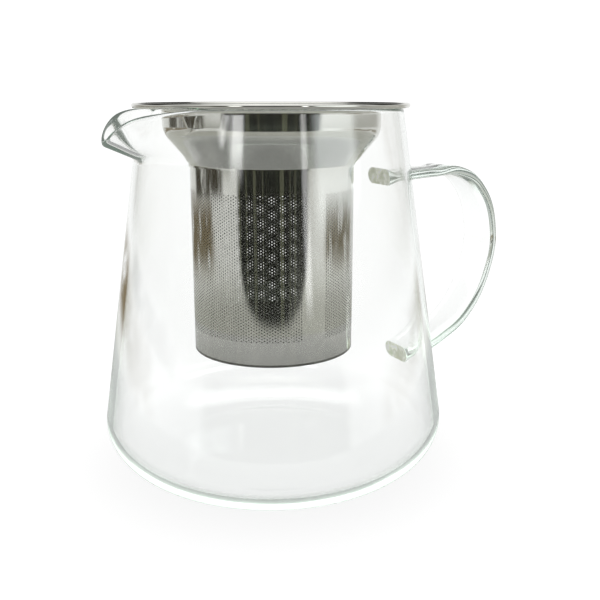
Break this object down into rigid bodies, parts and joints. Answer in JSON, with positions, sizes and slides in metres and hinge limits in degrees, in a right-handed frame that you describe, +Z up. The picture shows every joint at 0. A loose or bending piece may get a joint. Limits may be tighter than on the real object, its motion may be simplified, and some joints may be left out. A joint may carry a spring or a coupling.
{
  "type": "glass teapot with infuser",
  "caption": "Tapered clear glass teapot with a pinched pouring lip and strap handle, holding a lift-out perforated steel infuser closed by a sunk lid with a low knob.",
  "frame": {"origin": "centre of the flat base, on the table", "axes": "+Z up along the pot's axis, +X towards the handle, -X towards the pouring lip"},
  "size_m": [0.1575, 0.1194, 0.1258],
  "materials": {
    "clear_glass": "fire-polished clear borosilicate",
    "polished_steel": "mirror-polished stainless steel",
    "strainer_steel": "bright rolled stainless sheet with fine holes",
    "lid_steel": "finely brushed stainless steel"
  },
  "bodies": {
    "jug": {"jug_body": "clear_glass", "handle": "clear_glass"},
    "infuser": {"infuser_collar": "polished_steel", "infuser_tube": "strainer_steel", "infuser_base": "strainer_steel"},
    "lid": {"lid_plate": "lid_steel", "lid_knob": "polished_steel", "knob_screw": "polished_steel"}
  },
  "joints": [
    {"name": "infuser_lift", "type": "slide", "parent": "jug", "child": "infuser", "axis": [0, 0, 1], "range_m": [0, 0.1]},
    {"name": "lid_lift", "type": "slide", "parent": "infuser", "child": "lid", "axis": [0, 0, 1], "range_m": [0, 0.05]}
  ]
}
